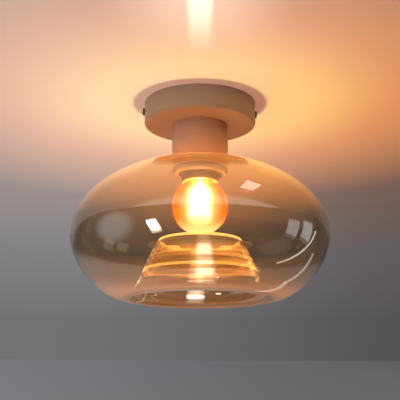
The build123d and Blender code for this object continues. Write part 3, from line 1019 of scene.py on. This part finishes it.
@dataclass
class Finishes:
    """Every finish of the light, by the record's material slot."""

    shared: SharedEffects
    slots: dict[str, Any] = field(init=False)

    def __post_init__(self) -> None:
        """List the finishes and their values."""
        sticks_low, sticks_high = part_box("filaments")
        shade_low, shade_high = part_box("glass_shade")
        globe_low, globe_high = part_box("bulb_globe")
        finishes = (
            Finish(
                "taupe_paint", linear(176, 152, 134), linear(170, 146, 128), (0.52, 0.62),
                grain_scale=1500.0, grain_depth=0.25, dust=0.06,
            ),
            # Amber glass with painted light in its emission and a painted shade on its shoulder
            ShadeGlass(
                "amber_glass", upper=(0.87, 0.75, 0.60), lower=(0.75, 0.61, 0.45),
                heights=(shade_low.z, shade_high.z), refraction=1.8, wave_depth=0.01,
                emission_strength=1.0, shadow_tint=(0.9, 0.78, 0.6),
                rim_height=shade_low.z + BlownShade.collar_height,
            ),
            GlobeGlass(
                "globe_glass", upper=(1.0, 0.86, 0.66), lower=(1.0, 0.84, 0.62),
                heights=(globe_low.z, globe_high.z), refraction=1.3, wave_depth=0.01,
                emission=(0.1, 0.032, 0.003), emission_strength=1.0,
                shadow_tint=(1.0, 0.86, 0.6), roughness=0.46,
            ),
            # Painted light: the emission makes the clear glass inside the lamp glow as if lit by the
            # sticks
            GlassFinish(
                "clear_glass", upper=(0.98, 0.96, 0.92), lower=(0.96, 0.92, 0.85),
                heights=(-0.11, -0.08), refraction=1.45,
                emission=(1.0, 0.88, 0.68), emission_strength=14.0,
            ),
            Finish(
                "zinc_steel", (0.62, 0.62, 0.60), (0.55, 0.56, 0.56), (0.28, 0.42), metallic=1.0,
                texture=Texture.DRAWN, grain_scale=700.0, grain_depth=0.12,
            ),
            Finish(
                "dark_screw", (0.075, 0.06, 0.05), (0.05, 0.042, 0.036), (0.35, 0.5), metallic=0.7,
                texture=Texture.TURNED, grain_scale=1200.0, dust=0.2,
            ),
            Finish(
                "brass", (0.72, 0.53, 0.25), (0.62, 0.43, 0.19), (0.24, 0.38), metallic=1.0,
                texture=Texture.TURNED, grain_depth=0.1,
            ),
            Finish(
                "nickel_cap", (0.75, 0.73, 0.70), (0.66, 0.63, 0.58), (0.16, 0.3), metallic=1.0,
                texture=Texture.TURNED, grain_scale=800.0, grain_depth=0.08,
            ),
            Finish("solder", (0.55, 0.55, 0.54), (0.43, 0.43, 0.44), (0.38, 0.55), metallic=1.0),
            Finish("black_insulator", (0.02, 0.02, 0.022), (0.035, 0.03, 0.03), (0.12, 0.22)),
            Finish(
                "steatite", (0.78, 0.75, 0.69), (0.70, 0.66, 0.59), (0.6, 0.78),
                grain_scale=1400.0, grain_depth=0.3,
            ),
            Finish(
                "holder_plastic", linear(172, 148, 130), linear(164, 140, 122), (0.42, 0.55),
                grain_scale=1100.0, grain_depth=0.1,
            ),
            Finish("block_plastic", (0.82, 0.81, 0.77), (0.76, 0.74, 0.68), (0.34, 0.46)),
            Finish(
                "silicone", (0.72, 0.69, 0.63), (0.66, 0.62, 0.55), (0.45, 0.6),
                settings=(("Subsurface Weight", 0.15), ("Subsurface Scale", 0.002)),
            ),
            GlowFinish(
                "filament", coat=(0.95, 0.62, 0.2), glow=(1.0, 0.8, 0.52),
                heights=(sticks_low.z, sticks_high.z), strength=300.0,
            ),
            Finish("brown_lead", (0.20, 0.09, 0.04), (0.16, 0.07, 0.03), (0.4, 0.52)),
            Finish("blue_lead", (0.05, 0.18, 0.50), (0.04, 0.15, 0.42), (0.4, 0.52)),
            StripedFinish("earth_lead", (0.08, 0.33, 0.06), (0.06, 0.27, 0.05), (0.4, 0.52)),
        )
        self.slots = {finish.name: finish.build(self.shared) for finish in finishes}

    def dress_nodes(self, frame: dict[str, Any]) -> None:
        """Give every carried-over node the finish of its slot.
        """
        for entry in frame["record"]["subparts"]:
            node = frame["nodes"][entry["node"]]
            dress(node, self.slots[entry["material_slot"]])
            log.info("dressed %s in %s", entry["node"], entry["material_slot"])


class Seen(Enum):
    """What a pane shows in, as its visibility to paint, through glass and as a reflection."""

    EVERYWHERE = (True, True, True)
    GLASS = (False, True, True)
    GLOSS = (False, False, True)
    PAINT = (True, False, False)


@dataclass(frozen=True)
class Pane:
    """A rectangle of light, placed by its direction from the middle of the shade."""

    name: str
    turn: float
    rise: float
    size: Pair
    energy: float
    colour: Colour
    lean: float = 0.0
    reach: float = 2.0
    seen: Seen = Seen.GLOSS
    faces_down: bool = False

    def build(self, target: Vector) -> Thing:
        """Hang the lamp so that it faces the target or the floor.

        Args:
            target: Point that the lamp faces.

        Returns:
            The lamp's object.
        """
        lamp = bpy.data.lights.new(self.name, "AREA")
        lamp.energy = self.energy
        lamp.shape = "RECTANGLE"
        lamp.size, lamp.size_y = self.size
        lamp.color = self.colour
        place = self.reach * heading(self.turn, self.rise)
        roll = Quaternion((0.0, 0.0, 1.0), math.radians(self.lean))
        holder = put(self.name, lamp)
        holder.location = target + place
        facing = Quaternion() if self.faces_down else (-place).to_track_quat("-Z", "Y")
        holder.rotation_euler = (facing @ roll).to_euler()
        holder.visible_camera = False
        holder.visible_diffuse, holder.visible_transmission, holder.visible_glossy = self.seen.value
        return holder


@dataclass(frozen=True)
class Plaster:
    """Pale plaster with a painted pool of the lamp's light, a painted streak and painted daylight in
    front, all given out by its emission.

    The pool goes by the root of the distance from the lamp and is paler on the window's side.
    """

    view_slope: float
    view_distance: float
    pool_reach: float = 4.0
    pool_power: float = 0.5
    # The first two stops of each ramp paint a shadow ring round the canopy; the rest is the painted pool
    # of light
    window_pool_and_shadow: Stops = (
        (0.1335, linear(205, 163, 141)), (0.137, linear(255, 222, 180)), (0.17, linear(255, 219, 178)),
        (0.23, linear(229, 184, 162)), (0.33, linear(154, 144, 143)), (0.48, linear(127, 129, 133)),
        (0.78, linear(109, 112, 116)),
    )
    room_pool_and_shadow: Stops = (
        (0.1335, linear(160, 75, 35)), (0.137, linear(255, 190, 96)), (0.17, linear(255, 194, 100)),
        (0.23, linear(225, 142, 84)), (0.33, linear(113, 86, 76)), (0.48, linear(89, 86, 88)),
        (0.78, linear(76, 76, 80)),
    )
    side_bearing: Pair = (-0.2, 0.3)
    streak_depth: Pair = (-0.25, -0.12)
    streak_core: Pair = (0.005, 0.017)
    streak_spill: Pair = (0.0, 0.09)
    spill_share: float = 0.35
    streak_light: Colour = (1.0, 0.94, 0.78)
    front_depth: Pair = (-0.34, -0.25)
    front_light: Colour = (1.35, 1.1, 0.98)
    strength: float = 0.9
    paint: Colour = (0.15, 0.135, 0.125)

    def build(self) -> Material:
        """Make the material, clear from above so that cameras there see the light.

        Returns:
            The finished material.
        """
        material, graph = new_material("plaster")
        place = graph.add("ShaderNodeTexCoord").outputs["Object"]
        right, depth, _ = graph.add("ShaderNodeSeparateXYZ", Vector=place).outputs
        across = graph.math("MULTIPLY_ADD", depth, self.view_slope, right)
        away = graph.math("ADD", graph.math("ABSOLUTE", depth), self.view_distance)
        side = graph.spread(graph.math("DIVIDE", across, away), self.side_bearing)
        reach = graph.add("ShaderNodeVectorMath", {"operation": "LENGTH"}, Vector=place).outputs["Value"]
        share = graph.math("POWER", graph.math("DIVIDE", reach, self.pool_reach), self.pool_power)
        pool = graph.blend(side, graph.ramp(share, self.window_pool_and_shadow), graph.ramp(share, self.room_pool_and_shadow))
        beside = graph.math("ABSOLUTE", across)
        core = graph.spread(beside, self.streak_core, FALLING)
        spill = graph.spread(beside, self.streak_spill, (self.spill_share, 0.0))
        near = graph.spread(depth, self.streak_depth, FALLING)
        streak = graph.times(near, graph.math("MAXIMUM", core, spill))
        colour = graph.blend(streak, pool, self.streak_light, "ADD")
        colour = graph.blend(graph.spread(depth, self.front_depth, FALLING), colour, self.front_light)
        glow = graph.add("ShaderNodeEmission", Color=colour, Strength=self.strength)
        plaster = graph.add("ShaderNodeBsdfDiffuse", Color=self.paint)
        added = graph.add("ShaderNodeAddShader")
        graph.feed(added.inputs[0], glow.outputs[0])
        graph.feed(added.inputs[1], plaster.outputs[0])
        clear = graph.add("ShaderNodeBsdfTransparent")
        above = graph.add("ShaderNodeNewGeometry").outputs["Backfacing"]
        graph.add("ShaderNodeOutputMaterial", Surface=graph.mix_shaders(above, added, clear))
        return material


@dataclass(frozen=True)
class Surroundings:
    """Room light by direction: pale behind and below, dark round the front, a soft window on the left."""

    pale: Stops = (
        (0.0, (0.62, 0.50, 0.45)), (0.3, (0.50, 0.42, 0.39)), (0.46, (0.24, 0.23, 0.24)),
        (0.52, (0.20, 0.205, 0.22)), (1.0, (0.06, 0.05, 0.05)),
    )
    behind_way: Pair = (0.75, -0.66)
    behind_edge: Pair = (0.63, 0.70)
    front: Colour = (0.01, 0.008, 0.007)
    shade_across: Pair = (-0.3, 0.3)
    shade_share: float = 0.5
    shade: Colour = (0.06, 0.055, 0.055)
    window_heading: Pair = (-83.0, -6.0)
    window_edge: Pair = (0.91, 0.99)
    window: Colour = (0.75, 0.8, 0.88)

    def build(self) -> None:
        """Make the world and set it on the scene."""
        world = bpy.data.worlds.new("room")
        bpy.context.scene.world = world
        world.use_nodes = True
        graph = Graph(world.node_tree)
        way = graph.add("ShaderNodeTexCoord").outputs["Generated"]
        right, back, up = graph.add("ShaderNodeSeparateXYZ", Vector=way).outputs
        pale = graph.ramp(graph.math("MULTIPLY_ADD", up, 0.5, 0.5), self.pale)
        back_share, up_share = self.behind_way
        behind = graph.math("MULTIPLY_ADD", back, back_share, graph.times(up, up_share))
        colour = graph.blend(graph.spread(behind, self.behind_edge), self.front, pale)
        shaded = graph.spread(right, self.shade_across, (0.0, self.shade_share))
        colour = graph.blend(shaded, colour, self.shade)
        aim = graph.add("ShaderNodeVectorMath", {"operation": "DOT_PRODUCT"}, Vector=way)
        aim.inputs[1].default_value = heading(*self.window_heading)
        soft = graph.spread(aim.outputs["Value"], self.window_edge)
        colour = graph.blend(soft, colour, self.window)
        light = graph.add("ShaderNodeBackground", Color=colour, Strength=1.0)
        graph.add("ShaderNodeOutputWorld", Surface=light.outputs[0])


@dataclass
class Room:
    """Ceiling, lamps and the camera, with the surroundings round them."""

    camera_turn: float = -4.5
    camera_distance: float = 0.82
    camera_drop: float = 0.315
    camera_pitch: float = 14.2
    lens: float = 71.8
    ceiling_gap: float = 0.0004
    ceiling_front: float = 0.55
    ceiling_front_points: int = 40
    ceiling_back: float = 5.55
    ceiling_back_width: float = 5.0
    bulb_energy: float = 1.2
    bulb_colour: Colour = (1.0, 0.5, 0.17)
    bulb_size: float = 0.009
    pane_level: float = -0.14
    scatter_count: int = 14
    scatter_radius: float = 0.046
    scatter_rise: float = 0.0005
    scatter_size: Pair = (0.014, 0.005)
    scatter_energy: float = 0.0016
    scatter_colour: Colour = (1.0, 0.2, 0.012)

    def ceiling(self) -> None:
        """Hang a plaster card, round in front and wide at the back."""
        front_radii = (self.ceiling_front, self.ceiling_front)
        front = arc((0.0, 0.0), front_radii, 0, -180, self.ceiling_front_points)
        back_half = self.ceiling_back_width / 2
        back = np.array(((-back_half, self.ceiling_back), (back_half, self.ceiling_back)))
        outline = np.vstack((front, back))
        corners = np.column_stack((outline, np.full(len(outline), self.ceiling_gap)))
        # One face that looks down, since its outline runs clockwise seen from above
        mesh = bpy.data.meshes.new("ceiling")
        mesh.from_pydata(corners.tolist(), [], [tuple(range(len(corners)))])
        mesh.update()
        card = put("ceiling", mesh)
        slope = math.tan(math.radians(self.camera_turn))
        dress(card, Plaster(slope, self.camera_distance).build())

    def bulb(self) -> None:
        """Put the lamp's own warm light at the middle of its sticks."""
        low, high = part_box("filaments")
        lamp = bpy.data.lights.new("bulb_light", "POINT")
        lamp.energy = self.bulb_energy
        lamp.color = self.bulb_colour
        lamp.shadow_soft_size = self.bulb_size
        bulb_place = put("bulb_light", lamp)
        bulb_place.location = (low + high) / 2
        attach(bulb_place, "bulb")

    def panes(self) -> None:
        """Hang the window light at the front left, and the panes and edges that the glass mirrors."""
        target = Vector((0.0, 0.0, self.pane_level))
        panes = (
            Pane(
                "window_light", -43.5, -16.5, (0.31, 0.6), 7.4, (1.0, 0.97, 0.93),
                lean=9.0, seen=Seen.EVERYWHERE,
            ),
            Pane("right_pane", 79.0, -6.0, (0.46, 0.7), 1.3, COOL_WHITE, seen=Seen.GLASS),
            Pane("far_right_pane", 97.0, -3.0, (0.46, 0.7), 1.3, COOL_WHITE, seen=Seen.GLASS),
            Pane("curtain_edge", 104.5, -22.0, (0.08, 1.7), 1.6, CREAM, lean=-12.0),
            Pane("door_edge", 129.5, -24.0, (0.12, 0.95), 0.5, CREAM, lean=43.0),
            Pane("door_sill", 152.5, -30.0, (0.12, 0.8), 0.3, CREAM, lean=-74.0),
            Pane("high_pane", 30.8, 31.4, (0.036, 0.05), 0.022, CREAM, reach=0.211, faces_down=True),
        )
        for pane in panes:
            pane.build(target)

    def scatter(self) -> None:
        """Ring the foot of the neck with small lamps, for the light that leaves the glass there."""
        foot = Vector((0.0, 0.0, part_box("glass_shade")[1].z + self.scatter_rise))
        for turn in np.linspace(0.0, 360.0, self.scatter_count, endpoint=False):
            scatter = Pane(
                "glass_scatter", float(turn), 0.0, self.scatter_size, self.scatter_energy,
                self.scatter_colour, reach=self.scatter_radius, seen=Seen.PAINT,
            )
            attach(scatter.build(foot), "shade")

    def camera(self) -> None:
        """Place the camera below the light and in front of it, looking up."""
        data = bpy.data.cameras.new("camera")
        data.sensor_width = SENSOR_WIDTH
        data.lens = self.lens
        eye = put("camera", data)
        turn = math.radians(self.camera_turn)
        eye.location = (
            self.camera_distance * math.sin(turn),
            -self.camera_distance * math.cos(turn),
            -self.camera_drop,
        )
        eye.rotation_euler = (math.radians(90 + self.camera_pitch), 0.0, turn)
        bpy.context.scene.camera = eye
        bpy.context.scene.view_settings.view_transform = "Standard"

    def build(self) -> None:
        """Set up the room in order."""
        self.ceiling()
        Surroundings().build()
        self.bulb()
        self.panes()
        self.scatter()
        self.camera()


def main() -> None:
    """Load the frame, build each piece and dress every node."""
    logging.basicConfig(level=logging.INFO, format="%(message)s")
    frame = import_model()
    finishes = Finishes(SharedEffects())
    finishes.dress_nodes(frame)
    shade = BlownShade().build(finishes.slots["amber_glass"])
    log.info("built %s", shade.name)
    globe = GlobeBulb().build(finishes.slots["globe_glass"])
    log.info("built %s", globe.name)
    Room().build()
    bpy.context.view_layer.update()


if __name__ == "__main__":
    main()
